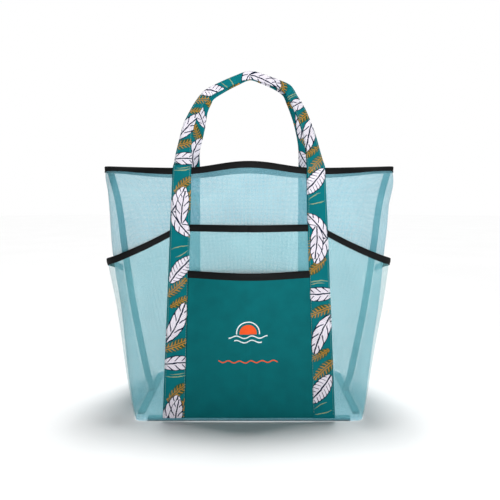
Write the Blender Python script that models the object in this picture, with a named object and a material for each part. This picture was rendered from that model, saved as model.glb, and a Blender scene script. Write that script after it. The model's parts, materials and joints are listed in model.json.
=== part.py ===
"""Mesh beach tote: a boxed see-through body with bound seams, four pockets and two fabric handles.

The bag stands on its base at z = 0, its width runs along X and its front faces -Y.
Every cloth layer is a thin closed shell, laid on one shared wall at its own distance from it.
"""
import math
from functools import lru_cache

import bmesh
import bpy
import numpy as np
from mathutils import Matrix

# ---- driving dimensions, in metres -------------------------------------------------------------
RIM_HEIGHT = 0.328                                   # top of the wall in the middle of a panel
LEVELS = np.array([0, 0.15, 0.375, 0.63, 0.87, 1.0]) * RIM_HEIGHT
SEAM_X = [0.1455, 0.1565, 0.1712, 0.1845, 0.1962, 0.2080]      # half width at the side seams
DEPTH_Y = [0.0905, 0.0850, 0.0765, 0.0665, 0.0570, 0.0520]     # half depth at the straps
BULGE_Y = [0.0, 0.002, 0.004, 0.007, 0.011, 0.016]             # extra depth between the straps
STRAP_X = [0.0940, 0.0932, 0.0920, 0.0908, 0.0896, 0.0890]     # where the straps run
CORNER_POWER = [14, 9, 6.5, 5.4, 5, 1.5]             # boxy corners at the base, a boat shape at the rim
RIM_DIP_STRAP = 0.008                                # the rim is lower at the straps
RIM_DIP_SEAM = 0.003                                 # and a little lower at the side seams

MESH_THICK = 0.0008
CLOTH_THICK = 0.0010
TAPE_THICK = 0.0006
GAP = 0.0003
BASE_THICK = 0.0012
BINDING_WIDTH = 0.0080                               # folded tape, seen from one side
SEAM_ALLOWANCE = 0.0085                              # bound edges that stand inside the bag
SEAM_TAPE_THICK = 0.0020                             # net and tape together, lying on the base
FIN_HALF_THICK = 0.0012
BASE_SEAM_REACH = (0.128, 0.070)                     # half lengths along the front and along the sides
STRAP_WIDTH = 0.0280
STRAP_THICK = 0.0014

PANEL_OUT = MESH_THICK / 2                           # distances from the middle of the wall
LAYER_PLAY = 0.0001                                  # extra room where facets of two layers cross
FIRST_LAYER = PANEL_OUT + GAP + LAYER_PLAY
POCKET_LIFT = TAPE_THICK + GAP                       # room for the tape behind a pocket's top edge
RIM_LAYER = PANEL_OUT + 2 * GAP + TAPE_THICK         # a strap clears the rim tape by one gap

CENTRE_POCKET_TOP = 0.1870
MESH_POCKET_TOP = 0.2460
SIDE_POCKET_AT_STRAP = 0.2460
SIDE_POCKET_AT_CORNER = 0.2030
SIDE_POCKET_AT_SEAM = 0.1840
POCKET_BOTTOM = 0.0050
MESH_POCKET_GAPE = 0.0100
CENTRE_POCKET_GAPE = 0.0110
SIDE_POCKET_GAPE = 0.0100
SIDE_POCKET_CORNER = 0.70                            # share of the way where the mouth line bends
SIDE_POCKET_END = 0.998                              # it stops just short of the side seam
GAPE_ACROSS_POWER, GAPE_UP_POWER = 1.5, 1.6          # a mouth opens most in its middle, near its top

HINGE_Z = 0.3225                                     # where a handle leaves the sewn strap
STRAP_LEVELS = [0.0045, 0.05, 0.10, 0.15, 0.20, 0.25, 0.285, 0.305, 0.315, HINGE_Z]
STRAP_RAMP = (0.285, 0.305)                          # here a strap climbs from the panel over the rim tape
HINGE_CLEARANCE = 0.0008                             # hinge axis in front of the strap's face
GRIP_THICK = 0.0032                                  # the strap folded in half
UNFOLDED_WIDTH, FOLDED_WIDTH = 0.0270, 0.0160        # visible widths where the fold begins and is complete
HANDLE_APEX_Y = 0.0026                               # the two grips nearly touch over the middle
HANDLE_ROUTE = [                                     # (x, z, visible width) from left to right
    (-0.0890, HINGE_Z + GAP, 0.0270), (-0.0893, 0.3400, 0.0235), (-0.0888, 0.3600, 0.0190),
    (-0.0850, 0.3840, 0.0165), (-0.0775, 0.4030, 0.0150), (-0.0650, 0.4245, 0.0145),
    (-0.0430, 0.4410, 0.0142), (-0.0215, 0.4520, 0.0140), (0.0, 0.4590, 0.0138),
    (0.0260, 0.4550, 0.0140), (0.0465, 0.4440, 0.0142), (0.0600, 0.4240, 0.0145),
    (0.0685, 0.4050, 0.0150), (0.0745, 0.3870, 0.0165), (0.0815, 0.3620, 0.0190),
    (0.0862, 0.3410, 0.0235), (0.0890, HINGE_Z + GAP, 0.0270)]

# ---- where the columns of every layer lie, as a share of the way from the middle to a seam -----
STRAP_SHARE = 0.40
MIDDLE_COLUMNS = [0, 0.06, 0.12, 0.18, 0.24, 0.30]
PANEL_STRAP_COLUMNS = [0.36, 0.42, 0.48]             # columns behind a strap
BASE_STRAP_COLUMNS = [0.40, 0.48]
CORNER_COLUMNS = [0.56, 0.61, 0.65, 0.675, 0.69, 0.70, 0.71, 0.725, 0.75, 0.80, 0.87, 0.94, 1.0]
SAMPLES = 801                                        # points along half a plan of the wall
PANEL_ROWS, POCKET_ROWS, FIN_ROWS = 9, 8, 12
ROW_SPACING_POWER = 1.3                              # rows lie closer together near the top
SHARP_ANGLE = math.radians(40)


# ---- the wall ----------------------------------------------------------------------------------
def at_height(values, z):
    """A smooth curve through the values given at LEVELS."""
    values = np.asarray(values, float)
    z = min(max(z, 0.0), LEVELS[-1])
    i = min(int(np.searchsorted(LEVELS, z, side="right")) - 1, len(LEVELS) - 2)
    step = LEVELS[i + 1] - LEVELS[i]
    t = (z - LEVELS[i]) / step
    slope = np.gradient(values, LEVELS) * step
    return (values[i] * (2 * t**3 - 3 * t**2 + 1) + slope[i] * (t**3 - 2 * t**2 + t)
            + values[i + 1] * (3 * t**2 - 2 * t**3) + slope[i + 1] * (t**3 - t**2))


@lru_cache(maxsize=None)
def section(z):
    """Half of the wall's plan at one height, from the middle to a side seam.

    Returns the shares, x, depth, outward normals and the length along the cloth.
    """
    share = np.linspace(0, 1, SAMPLES)
    strap, depth = at_height(STRAP_X, z), at_height(DEPTH_Y, z)
    seam, bulge, power = (at_height(v, z) for v in (SEAM_X, BULGE_Y, CORNER_POWER))
    inner = np.clip(share / STRAP_SHARE, 0, 1)
    angle = math.pi / 2 * (1 - np.clip((share - STRAP_SHARE) / (1 - STRAP_SHARE), 0, 1))
    cos, sin = np.cos(angle), np.sin(angle)
    radius = (np.abs(cos)**power + np.abs(sin)**power)**(-1 / power)
    outer = share > STRAP_SHARE
    x = np.where(outer, strap + (seam - strap) * cos * radius, strap * inner)
    y = np.where(outer, depth * sin * radius, depth + bulge * (1 + np.cos(math.pi * inner)) / 2)
    dx, dy = np.gradient(x), np.gradient(y)
    size = np.hypot(dx, dy)
    length = np.concatenate([[0], np.cumsum(np.hypot(np.diff(x), np.diff(y)))])
    return share, x, y, -dy / size, dx / size, length


def on_wall(side, share, z, off):
    """A point at a signed share and a height, moved outward from the wall by off.

    side is -1 on the front and +1 on the back.
    """
    shares, xs, ys, nx, ny, _ = section(round(z, 6))
    a = abs(share)
    x = np.interp(a, shares, xs) + off * np.interp(a, shares, nx)
    y = np.interp(a, shares, ys) + off * np.interp(a, shares, ny)
    return (math.copysign(x, share), side * max(y, GAP / 2), z)


def share_beside_strap(z, distance):
    """The share that lies so far along the cloth from the strap's middle line."""
    shares, *_, length = section(round(z, 6))
    start = np.interp(STRAP_SHARE, shares, length)
    return float(np.interp(start + distance, length, shares))


def rim_height(share):
    """The rim waves: high in the middle, lowest at the straps."""
    a = abs(share)
    if a <= STRAP_SHARE:
        return RIM_HEIGHT - RIM_DIP_STRAP * (1 - math.cos(math.pi * a / STRAP_SHARE)) / 2
    t = (a - STRAP_SHARE) / (1 - STRAP_SHARE)
    rise = RIM_DIP_STRAP - RIM_DIP_SEAM
    return RIM_HEIGHT - RIM_DIP_STRAP + rise * t * t * (3 - 2 * t)


# ---- building closed bodies --------------------------------------------------------------------
def add_object(name, verts, faces, mat):
    """One named object from points and faces, with its faces turned outward."""
    mesh = bpy.data.meshes.new(name)
    mesh.from_pydata(verts, [], faces)
    bm = bmesh.new()
    bm.from_mesh(mesh)
    bmesh.ops.recalc_face_normals(bm, faces=bm.faces)
    bm.to_mesh(mesh)
    bm.free()
    mesh.materials.append(mat)
    mesh.shade_smooth()
    mesh.set_sharp_from_angle(angle=SHARP_ANGLE)
    obj = bpy.data.objects.new(name, mesh)
    bpy.context.scene.collection.objects.link(obj)
    return obj


def halves(low, low_next, high_next, high):
    """A four-sided face as two triangles, always cut from its low corner to the next column's high one.

    Neighbouring layers are cut alike, so they stay apart where the cloth twists.
    """
    return [(low, low_next, high_next), (low, high_next, high)]


def shell(name, outside, inside, mat):
    """A thin closed body between two grids of points, rows by columns."""
    rows, cols = len(outside), len(outside[0])
    verts = [p for grid in (outside, inside) for row in grid for p in row]

    def index(layer, r, c):
        return layer * rows * cols + r * cols + c

    faces = []
    for layer in (0, 1):
        for r in range(rows - 1):
            for c in range(cols - 1):
                faces += halves(index(layer, r, c), index(layer, r, c + 1),
                                index(layer, r + 1, c + 1), index(layer, r + 1, c))
    border = ([(0, c) for c in range(cols)] + [(r, cols - 1) for r in range(1, rows)]
              + [(rows - 1, c) for c in range(cols - 2, -1, -1)] + [(r, 0) for r in range(rows - 2, 0, -1)])
    for a, b in zip(border, border[1:] + border[:1]):
        faces.append((index(1, *a), index(1, *b), index(0, *b), index(0, *a)))
    return add_object(name, verts, faces, mat)


def loft(name, rings, mat):
    """A closed body through rings of points, with a flat cap at both ends."""
    count = len(rings[0])
    verts = [p for ring in rings for p in ring]
    faces = [tuple(range(count)), tuple(range(len(verts) - 1, len(verts) - 1 - count, -1))]
    for r in range(len(rings) - 1):
        for c in range(count):
            low, high = sorted((c, (c + 1) % count), key=lambda k: rings[r][k][2])
            faces += halves(r * count + low, (r + 1) * count + low,
                            (r + 1) * count + high, r * count + high)
    return add_object(name, verts, faces, mat)


def make_material(name, srgb_hex, roughness):
    """A plain Principled material from an sRGB colour."""
    channels = [int(srgb_hex[i:i + 2], 16) / 255 for i in (1, 3, 5)]
    linear = [c / 12.92 if c <= 0.04045 else ((c + 0.055) / 1.055)**2.4 for c in channels]
    mat = bpy.data.materials.new(name)
    mat.use_nodes = True
    shader = mat.node_tree.nodes["Principled BSDF"]
    shader.inputs["Base Color"].default_value = (*linear, 1)
    shader.inputs["Roughness"].default_value = roughness
    mat.diffuse_color = (*linear, 1)
    return mat


# ---- one cloth layer on the wall ---------------------------------------------------------------
class Layer:
    """A panel or pocket on the wall.

    edges(z) gives its first and last share at a height, between holds the shared columns inside
    them, top(share) and bottom its heights, gape how far its mouth stands off in the middle.
    """

    def __init__(self, side, edges, between, bottom, top, off, thick, lift=0.0, gape=0.0):
        self.side, self.edges, self.between = side, edges, between
        self.bottom, self.top = bottom, top
        self.off, self.thick, self.lift, self.gape = off, thick, lift, gape
        self.fractions = self.measure_fractions()

    def column(self, i, z):
        first, last = self.edges(z)
        return [first, *self.between, last][i]

    def inner_face(self, i, z, top):
        """How far the layer's inner face stands from the wall at a column and a height."""
        up = (z - self.bottom) / (top - self.bottom)
        across = self.fractions[i]
        opened = math.sin(math.pi * across)**GAPE_ACROSS_POWER * max(up, 0)**GAPE_UP_POWER
        return self.off + self.lift * up + self.gape * opened

    def measure_fractions(self):
        """How far across the layer each column lies, from 0 to 1, measured along the cloth."""
        z = self.bottom
        shares, *_, length = section(round(z, 6))
        first, last = self.edges(z)
        all_shares = [first, *self.between, last]
        along = [math.copysign(np.interp(abs(s), shares, length), s) for s in all_shares]
        return [(a - along[0]) / (along[-1] - along[0]) for a in along]

    def top_at(self, i):
        """The height of the top edge at a column, whose own share depends on the height."""
        z = self.top(self.column(i, self.bottom))
        for _ in range(4):
            z = self.top(self.column(i, z))
        return z

    def point(self, i, z, off):
        return on_wall(self.side, self.column(i, z), z, off)

    def build(self, name, rows, mat):
        """The layer's own closed shell."""
        grids = ([], [])
        columns = range(len(self.between) + 2)
        tops = [self.top_at(i) for i in columns]
        for r in range(rows + 1):
            inside, outside = [], []
            up = 1 - (1 - r / (rows - 1))**ROW_SPACING_POWER if r < rows else 1
            for i in columns:
                foot = tops[i] - BINDING_WIDTH        # the last row but one ends under the tape
                z = self.bottom + (foot - self.bottom) * up if r < rows else tops[i]
                off = self.inner_face(i, z, tops[i])
                inside.append(self.point(i, z, off))
                outside.append(self.point(i, z, off + self.thick))
            grids[0].append(outside)
            grids[1].append(inside)
        return shell(name, grids[0], grids[1], mat)

    def bind_top(self, name, mat):
        """Tape folded over the top edge, with a leg on either side of the cloth."""
        rings = []
        for i in range(len(self.between) + 2):
            top = self.top_at(i)
            low = top - BINDING_WIDTH
            foot, head = (self.inner_face(i, z, top) for z in (low, top))
            over = top + GAP
            back, front = -GAP, self.thick + GAP
            profile = [(foot + front, low), (foot + front + TAPE_THICK, low),
                       (head + front + TAPE_THICK, over + TAPE_THICK),
                       (head + back - TAPE_THICK, over + TAPE_THICK),
                       (foot + back - TAPE_THICK, low), (foot + back, low),
                       (head + back, over), (head + front, over)]
            rings.append([self.point(i, z, off) for off, z in profile])
        return loft(name, rings, mat)


# ---- the sub-parts -----------------------------------------------------------------------------
def mirrored(columns):
    """The same shares on both sides of the middle."""
    return [-c for c in reversed(columns) if c > 0] + list(columns)


def make_panels(mesh_mat, tape_mat):
    """Front and back panels, each reaching to both side seams, with their taped rims."""
    columns = mirrored(MIDDLE_COLUMNS + PANEL_STRAP_COLUMNS + CORNER_COLUMNS[:-1])
    for name, side in (("front", -1), ("back", 1)):
        panel = Layer(side, lambda z: (-1.0, 1.0), columns, BASE_THICK + GAP, rim_height,
                      -PANEL_OUT, MESH_THICK)
        panel.build(f"{name}_panel", PANEL_ROWS, mesh_mat)
        panel.bind_top(f"{name}_rim_binding", tape_mat)


def make_base(mesh_mat):
    """The base panel, a flat sheet with the wall's own outline at the floor."""
    shares = mirrored(MIDDLE_COLUMNS + BASE_STRAP_COLUMNS + CORNER_COLUMNS[:-1])
    front = [on_wall(-1, s, 0.0, PANEL_OUT)[:2] for s in shares]
    seam = [on_wall(-1, s, 0.0, PANEL_OUT)[0] for s in (1.0, -1.0)]
    outline = front + [(seam[0], 0.0)] + [(x, -y) for x, y in reversed(front)] + [(seam[1], 0.0)]
    loft("base_panel", [[(x, y, z) for x, y in outline] for z in (0.0, BASE_THICK)], mesh_mat)


def make_base_seams(mat):
    """Bound seam edges that lie on the base inside the wall, one along each side."""
    low, high = BASE_THICK + GAP, BASE_THICK + GAP + SEAM_TAPE_THICK
    outer = PANEL_OUT + 2 * GAP
    reach_x, reach_y = BASE_SEAM_REACH
    for name, side in (("front", -1), ("back", 1)):
        edge = side * (DEPTH_Y[0] - outer)
        inner = edge - side * SEAM_ALLOWANCE
        box(f"base_seam_binding_{name}", (-reach_x, reach_x), sorted((edge, inner)), (low, high), mat)
    for name, side in (("left", -1), ("right", 1)):
        edge = side * (SEAM_X[0] - outer)
        inner = edge - side * SEAM_ALLOWANCE
        box(f"base_seam_binding_{name}", sorted((edge, inner)), (-reach_y, reach_y), (low, high), mat)


def box(name, xs, ys, zs, mat):
    """A plain block between three pairs of limits."""
    rings = [[(xs[0], ys[0], z), (xs[1], ys[0], z), (xs[1], ys[1], z), (xs[0], ys[1], z)] for z in zs]
    return loft(name, rings, mat)


def make_side_seams(mat):
    """The side seams' bound edges: a thin fin that stands inward behind each seam."""
    bottom = BASE_THICK + GAP + SEAM_TAPE_THICK + 2 * GAP
    top = rim_height(1.0) - BINDING_WIDTH - 2 * GAP
    half = FIN_HALF_THICK
    for name, side in (("left", -1), ("right", 1)):
        rings = []
        for z in np.linspace(bottom, top, FIN_ROWS):
            outer = at_height(SEAM_X, z) - PANEL_OUT - 2 * GAP
            inner = outer - SEAM_ALLOWANCE
            rings.append([(side * inner, -half, z), (side * outer, -half, z),
                          (side * outer, half, z), (side * inner, half, z)])
        loft(f"side_seam_binding_{name}", rings, mat)


def make_front_pockets(mesh_mat, cloth_mat, tape_mat):
    """The tall mesh pocket between the front straps, and the cloth pocket in front of it."""
    beside = STRAP_WIDTH / 2 + GAP

    def edges(z):
        share = share_beside_strap(z, -beside)
        return -share, share

    columns = mirrored(MIDDLE_COLUMNS)
    tall = Layer(-1, edges, columns, POCKET_BOTTOM, lambda s: MESH_POCKET_TOP, FIRST_LAYER,
                 MESH_THICK, POCKET_LIFT, MESH_POCKET_GAPE)
    tall.build("mesh_pocket", PANEL_ROWS, mesh_mat)
    tall.bind_top("mesh_pocket_binding", tape_mat)

    reach = (CENTRE_POCKET_TOP - POCKET_BOTTOM) / (MESH_POCKET_TOP - POCKET_BOTTOM)
    behind = MESH_POCKET_GAPE * reach**GAPE_UP_POWER
    cloth = Layer(-1, edges, columns, POCKET_BOTTOM, lambda s: CENTRE_POCKET_TOP,
                  FIRST_LAYER + MESH_THICK + GAP, CLOTH_THICK,
                  POCKET_LIFT * (1 + reach), CENTRE_POCKET_GAPE + behind)
    cloth.build("centre_pocket", POCKET_ROWS, cloth_mat)
    cloth.bind_top("centre_pocket_binding", tape_mat)


def side_pocket_top(share):
    """The side pockets' mouth: level with the tall pocket at the strap, lower at the seam."""
    t = (abs(share) - STRAP_SHARE) / (1 - STRAP_SHARE)
    corner = (SIDE_POCKET_CORNER - STRAP_SHARE) / (1 - STRAP_SHARE)
    heights = (SIDE_POCKET_AT_STRAP, SIDE_POCKET_AT_CORNER, SIDE_POCKET_AT_SEAM)
    return float(np.interp(t, (0, corner, 1), heights))


def make_side_pockets(mesh_mat, tape_mat):
    """One mesh pocket round each front corner, from the strap to the side seam."""
    beside = STRAP_WIDTH / 2 + GAP
    inside = CORNER_COLUMNS[:-1]
    for name, sign in (("left", -1), ("right", 1)):

        def edges(z, sign=sign):
            ends = (sign * share_beside_strap(z, beside), sign * SIDE_POCKET_END)
            return ends if sign > 0 else ends[::-1]

        columns = [sign * c for c in (inside if sign > 0 else reversed(inside))]
        pocket = Layer(-1, edges, columns, POCKET_BOTTOM, side_pocket_top, FIRST_LAYER,
                       MESH_THICK, POCKET_LIFT, SIDE_POCKET_GAPE)
        pocket.build(f"side_pocket_{name}", POCKET_ROWS, mesh_mat)
        pocket.bind_top(f"side_pocket_binding_{name}", tape_mat)


def make_straps(mat):
    """Four straps sewn to the panels from the base up over the taped rim."""
    ramp_low, ramp_high = STRAP_RAMP
    for panel, side in (("front", -1), ("back", 1)):
        for name, sign in (("left", -1), ("right", 1)):
            outside, inside = [], []
            for z in STRAP_LEVELS:
                near_rim = min(max((z - ramp_low) / (ramp_high - ramp_low), 0.0), 1.0)
                off = FIRST_LAYER + (RIM_LAYER + GAP - FIRST_LAYER) * near_rim
                shares = [share_beside_strap(z, d) for d in (-STRAP_WIDTH / 2, 0.0, STRAP_WIDTH / 2)]
                outside.append([on_wall(side, sign * s, z, off + STRAP_THICK) for s in shares])
                inside.append([on_wall(side, sign * s, z, off) for s in shares])
            shell(f"{panel}_strap_{name}", outside, inside, mat)


def hinge_y():
    """The hinge axis lies just outside the strap's face at the rim."""
    return at_height(DEPTH_Y, HINGE_Z) + RIM_LAYER + GAP + STRAP_THICK + HINGE_CLEARANCE


def make_handles(mat):
    """Two handles: the flat strap rises from the rim and is folded in half along the grip.

    Each handle's origin lies on its hinge axis.
    """
    route = [(x, z) for x, z, _ in HANDLE_ROUTE]
    apex_z = max(z for _, z in route)
    foot_y = at_height(DEPTH_Y, HINGE_Z) + RIM_LAYER + GAP + STRAP_THICK / 2
    for name, side in (("front", -1), ("back", 1)):
        rings = []
        for i, (x, z, width) in enumerate(HANDLE_ROUTE):
            before, after = route[max(i - 1, 0)], route[min(i + 1, len(route) - 1)]
            dx, dz = after[0] - before[0], after[1] - before[1]
            if i in (0, len(route) - 1):
                dx = 0.0                              # the ends are cut square above the sewn strap
            size = math.hypot(dx, dz)
            across = (dz / size, -dx / size)
            up = (z - HINGE_Z) / (apex_z - HINGE_Z)
            y = side * (foot_y + (HANDLE_APEX_Y - foot_y) * up)
            folded = min(max((UNFOLDED_WIDTH - width) / (UNFOLDED_WIDTH - FOLDED_WIDTH), 0.0), 1.0)
            half = (STRAP_THICK + (GRIP_THICK - STRAP_THICK) * folded) / 2
            w = width / 2
            rings.append([(x - w * across[0], y - half, z - w * across[1]),
                          (x + w * across[0], y - half, z + w * across[1]),
                          (x + w * across[0], y + half, z + w * across[1]),
                          (x - w * across[0], y + half, z - w * across[1])])
        handle = loft(f"{name}_handle", rings, mat)
        origin = (0.0, side * hinge_y(), HINGE_Z)
        handle.data.transform(Matrix.Translation([-c for c in origin]))
        handle.location = origin


def main():
    """Builds the whole bag in an empty scene."""
    for obj in list(bpy.data.objects):
        bpy.data.objects.remove(obj, do_unlink=True)
    mesh_mat = make_material("teal_net", "#8fc3cb", 0.6)
    cloth_mat = make_material("teal_cloth", "#0c696f", 0.85)
    print_mat = make_material("printed_strap_cloth", "#1a6a70", 0.8)
    tape_mat = make_material("black_binding_tape", "#121515", 0.7)
    seam_mat = make_material("teal_seam_tape", "#0d5c63", 0.75)
    make_base(mesh_mat)
    make_panels(mesh_mat, tape_mat)
    make_base_seams(seam_mat)
    make_side_seams(seam_mat)
    make_front_pockets(mesh_mat, cloth_mat, tape_mat)
    make_side_pockets(mesh_mat, tape_mat)
    make_straps(print_mat)
    make_handles(print_mat)


main()
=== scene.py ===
# %% [markdown]
# # A see-through beach tote
# The bag is sewn from net, printed cloth and binding tape. The imported model gives the frame: where every
# piece lies and which body it moves with. This lesson replaces its plain cloth solids one by one with
# fine meshes and gives each real material its own procedural finish.
# The frame is loaded first.

# %% The frame
import json
import math

import bpy
import numpy as np
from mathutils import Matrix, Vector


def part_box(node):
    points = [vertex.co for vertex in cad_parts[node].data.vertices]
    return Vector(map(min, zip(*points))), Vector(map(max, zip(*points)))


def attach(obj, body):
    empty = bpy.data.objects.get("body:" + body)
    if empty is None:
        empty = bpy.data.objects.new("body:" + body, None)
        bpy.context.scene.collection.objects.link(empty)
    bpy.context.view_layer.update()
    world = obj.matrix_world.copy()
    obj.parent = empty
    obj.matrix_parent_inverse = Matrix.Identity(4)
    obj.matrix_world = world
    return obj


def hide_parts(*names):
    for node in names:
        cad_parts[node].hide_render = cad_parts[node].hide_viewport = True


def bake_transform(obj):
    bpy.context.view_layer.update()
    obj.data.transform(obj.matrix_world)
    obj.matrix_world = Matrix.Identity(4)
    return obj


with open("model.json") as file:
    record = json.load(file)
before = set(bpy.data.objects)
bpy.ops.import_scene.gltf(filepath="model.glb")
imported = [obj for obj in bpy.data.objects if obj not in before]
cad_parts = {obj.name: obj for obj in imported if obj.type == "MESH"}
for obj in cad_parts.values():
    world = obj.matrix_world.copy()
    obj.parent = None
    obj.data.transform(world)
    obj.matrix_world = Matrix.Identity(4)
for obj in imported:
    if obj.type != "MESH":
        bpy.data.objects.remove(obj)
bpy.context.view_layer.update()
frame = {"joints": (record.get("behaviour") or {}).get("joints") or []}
BAG, FRONT_HANDLE, BACK_HANDLE = "bag", "front_handle", "back_handle"

# %% [markdown]
# ## Helpers
# Colours are written as sRGB hex, as a swatch book gives them, and turned to linear light once, here.
# One function adds a shader node. Its inputs can be numbers, other nodes or sockets, so that a material
# reads from top to bottom like the recipe of the real surface.

# %% Colour and node helpers
MM = 0.001


def linear(srgb_hex):
    """An sRGB hex colour as linear RGBA."""
    channels = [int(srgb_hex[i:i + 2], 16) / 255 for i in (1, 3, 5)]
    return (*[c / 12.92 if c <= 0.04045 else ((c + 0.055) / 1.055)**2.4 for c in channels], 1.0)


def node(tree, kind, inputs=(), **settings):
    """Adds a node, sets its properties, and fills or links its inputs.

    inputs is a tuple in socket order, where None leaves a socket alone, or a dict by socket name.
    """
    made = tree.nodes.new("ShaderNode" + kind)
    for key, value in settings.items():
        setattr(made, key, value)
    in_use = [socket for socket in made.inputs if socket.enabled]
    for key, value in (inputs.items() if isinstance(inputs, dict) else enumerate(inputs)):
        socket = made.inputs[key] if isinstance(key, str) else in_use[key]
        if isinstance(value, bpy.types.Node):
            value = next(given for given in value.outputs if given.enabled)
        if isinstance(value, bpy.types.NodeSocket):
            tree.links.new(value, socket)
        elif value is not None:
            socket.default_value = value
    return made


def new_material(name):
    """An empty node material and its output node."""
    mat = bpy.data.materials.new(name)
    mat.use_nodes = True
    mat.node_tree.nodes.clear()
    return mat, mat.node_tree, mat.node_tree.nodes.new("ShaderNodeOutputMaterial")


# %% [markdown]
# ## The wall
# A bag like this hangs from its own seams, so its whole shape is one curved wall: a rounded box at the
# base that turns into the outline of a boat at the rim. Separate plates would show a corner where the
# cloth has none. The wall is therefore one formula, a superellipse whose power falls with height, and
# every panel, pocket, strap and tape is laid on it at its own distance.
# The sizes start from the frame: the half width and depth of the base, and the height of the rim.

# %% The wall's shape, from the frame
NET = 0.8 * MM
GAP = 0.3 * MM
base_x, base_y = (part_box("base_panel")[1][k] - NET / 2 for k in (0, 1))
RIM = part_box("front_panel")[1].z
LEVELS = RIM * np.array([0, 0.15, 0.375, 0.63, 0.87, 1.0])
PROFILE = {
    "seam": base_x * np.array([1, 1.0756, 1.1766, 1.2680, 1.3485, 1.4296]),
    "strap": base_x * np.array([0.6460, 0.6405, 0.6323, 0.6241, 0.6158, 0.6117]),
    "depth": base_y * np.array([1, 0.9392, 0.8453, 0.7348, 0.6298, 0.5746]),
    "bulge": base_y * np.array([0, 0.0221, 0.0442, 0.0773, 0.1215, 0.1768]),
    "power": np.array([14, 9, 6.5, 5.4, 5, 1.5]),
}
STRAP_SHARE = 0.40
RIM_DIP, RIM_RISE = 8 * MM, 5 * MM                   # lower at the straps, up again towards the seams
FOLD, RIPPLE, SAG = 1.5 * MM, 1.0 * MM, 0.9 * MM     # how far the limp cloth wanders
TABLE_Z = np.linspace(0, RIM, 165)
TABLE_SHARE = np.linspace(0, 1, 401)


def at_height(values, z):
    """A smooth curve through the values given at LEVELS."""
    i = np.clip(np.searchsorted(LEVELS, z, side="right") - 1, 0, len(LEVELS) - 2)
    step = LEVELS[i + 1] - LEVELS[i]
    t = (z - LEVELS[i]) / step
    slope = np.gradient(values, LEVELS)
    return (values[i] * (2 * t**3 - 3 * t**2 + 1) + slope[i] * step * (t**3 - 2 * t**2 + t)
            + values[i + 1] * (3 * t**2 - 2 * t**3) + slope[i + 1] * step * (t**3 - t**2))


def wall_table():
    """x, depth, outward normal and length along the cloth, for every height and share of the way round."""
    strap, depth, seam, bulge, power = (at_height(PROFILE[k], TABLE_Z)[:, None]
                                        for k in ("strap", "depth", "seam", "bulge", "power"))
    inner = np.clip(TABLE_SHARE / STRAP_SHARE, 0, 1)[None]
    angle = math.pi / 2 * (1 - np.clip((TABLE_SHARE - STRAP_SHARE) / (1 - STRAP_SHARE), 0, 1))[None]
    cos, sin = np.cos(angle), np.sin(angle)
    radius = (np.abs(cos)**power + np.abs(sin)**power)**(-1 / power)
    outer = (TABLE_SHARE > STRAP_SHARE)[None]
    x = np.where(outer, strap + (seam - strap) * cos * radius, strap * inner)
    y = np.where(outer, depth * sin * radius, depth + bulge * (1 + np.cos(math.pi * inner)) / 2)
    dx, dy = np.gradient(x, axis=1), np.gradient(y, axis=1)
    size = np.hypot(dx, dy)
    length = np.pad(np.cumsum(np.hypot(np.diff(x), np.diff(y)), axis=1), ((0, 0), (1, 0)))
    return {"x": x, "y": y, "nx": -dy / size, "ny": dx / size, "length": length}


TABLE = wall_table()


def look_up(key, share, z):
    """A value from the wall's table between its rows and columns."""
    r = np.clip(np.asarray(z) / RIM, 0, 1) * (len(TABLE_Z) - 1)
    c = np.clip(np.abs(share), 0, 1) * (len(TABLE_SHARE) - 1)
    r0 = np.minimum(r.astype(int), len(TABLE_Z) - 2)
    c0 = np.minimum(c.astype(int), len(TABLE_SHARE) - 2)
    r, c, t = r - r0, c - c0, TABLE[key]
    return ((t[r0, c0] * (1 - c) + t[r0, c0 + 1] * c) * (1 - r)
            + (t[r0 + 1, c0] * (1 - c) + t[r0 + 1, c0 + 1] * c) * r)


def share_beside_strap(z, distance):
    """The share that lies so far along the cloth from a strap's middle line, at each height."""
    z = np.atleast_1d(np.asarray(z, float))
    start = look_up("length", np.full_like(z, STRAP_SHARE), z)
    rows = np.clip(z / RIM, 0, 1) * (len(TABLE_Z) - 1)
    found = []
    for want, r in zip(start + distance, rows):
        r0 = min(int(r), len(TABLE_Z) - 2)
        line = TABLE["length"][r0] * (1 - (r - r0)) + TABLE["length"][r0 + 1] * (r - r0)
        found.append(np.interp(want, line, TABLE_SHARE))
    return np.array(found)


def rim_height(share):
    """The rim waves: high in the middle, lowest at the straps, up a little at the seams."""
    a = np.abs(share)
    t = np.clip((a - STRAP_SHARE) / (1 - STRAP_SHARE), 0, 1)
    middle = RIM - RIM_DIP * (1 - np.cos(math.pi * np.clip(a / STRAP_SHARE, 0, 1))) / 2
    return np.where(a <= STRAP_SHARE, middle, RIM - RIM_DIP + RIM_RISE * t * t * (3 - 2 * t))


def rumple(share, z, side):
    """How far the limp cloth wanders from the smooth wall: soft folds that die out at seams and base.

    Every layer at one place takes the same value, so layers stay clear of each other.
    """
    up = np.clip(z / RIM, 0, 1)
    a = np.abs(share)
    turn = np.where(share < 0, 0.9, 2.3) + (1.7 if side > 0 else 0.0)
    corner = np.clip((a - 0.50) / 0.15, 0, 1) * np.clip((1.0 - a) / 0.12, 0, 1)
    folds = FOLD * np.sin(34 * a + 9 * up + turn) + RIPPLE * np.sin(19 * a - 14 * up + 2 * turn)
    sag = SAG * np.sin(7.5 * share + 6 * up + turn) * np.clip((0.36 - a) / 0.1, 0, 1)
    free = np.clip(up / 0.15, 0, 1) * np.clip((1.0 - up) / 0.10, 0, 1)
    return (folds * corner * (0.35 + 0.65 * up) + sag) * free


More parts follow.
